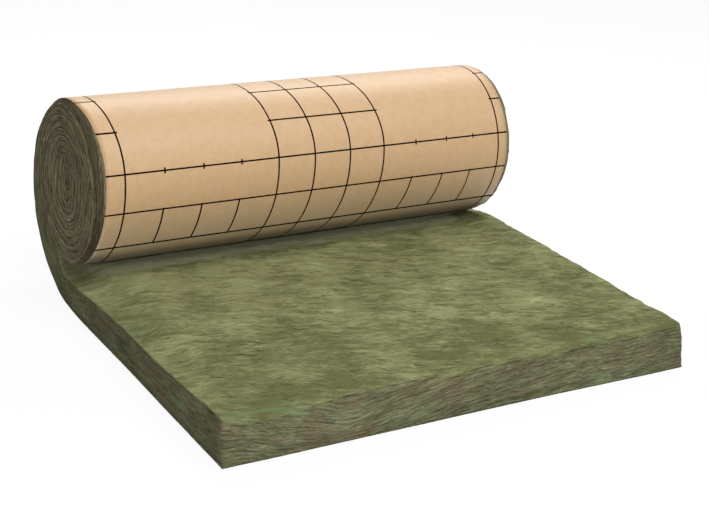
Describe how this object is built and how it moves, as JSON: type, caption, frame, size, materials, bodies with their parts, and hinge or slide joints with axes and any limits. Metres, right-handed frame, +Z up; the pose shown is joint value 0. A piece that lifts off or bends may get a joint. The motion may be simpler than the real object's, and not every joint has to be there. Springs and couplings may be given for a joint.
{
  "type": "insulation roll",
  "caption": "Partly unrolled mineral wool insulation blanket with a kraft paper facing: a tight roll with its free length lying flat in front of it.",
  "frame": {"origin": "middle of the footprint, on the floor", "axes": "+X along the roll, across the width of the blanket; +Y from the free end towards the roll; +Z up"},
  "size_m": [1.2, 1.1934, 0.5271],
  "materials": {
    "mineral_wool": "matt, fibrous and layered, olive green and brown",
    "kraft_paper": "smooth unbleached paper with a printed grid of thin dark lines"
  },
  "bodies": {
    "root": {"wool_blanket": "mineral_wool", "kraft_facing": "kraft_paper"}
  },
  "joints": []
}
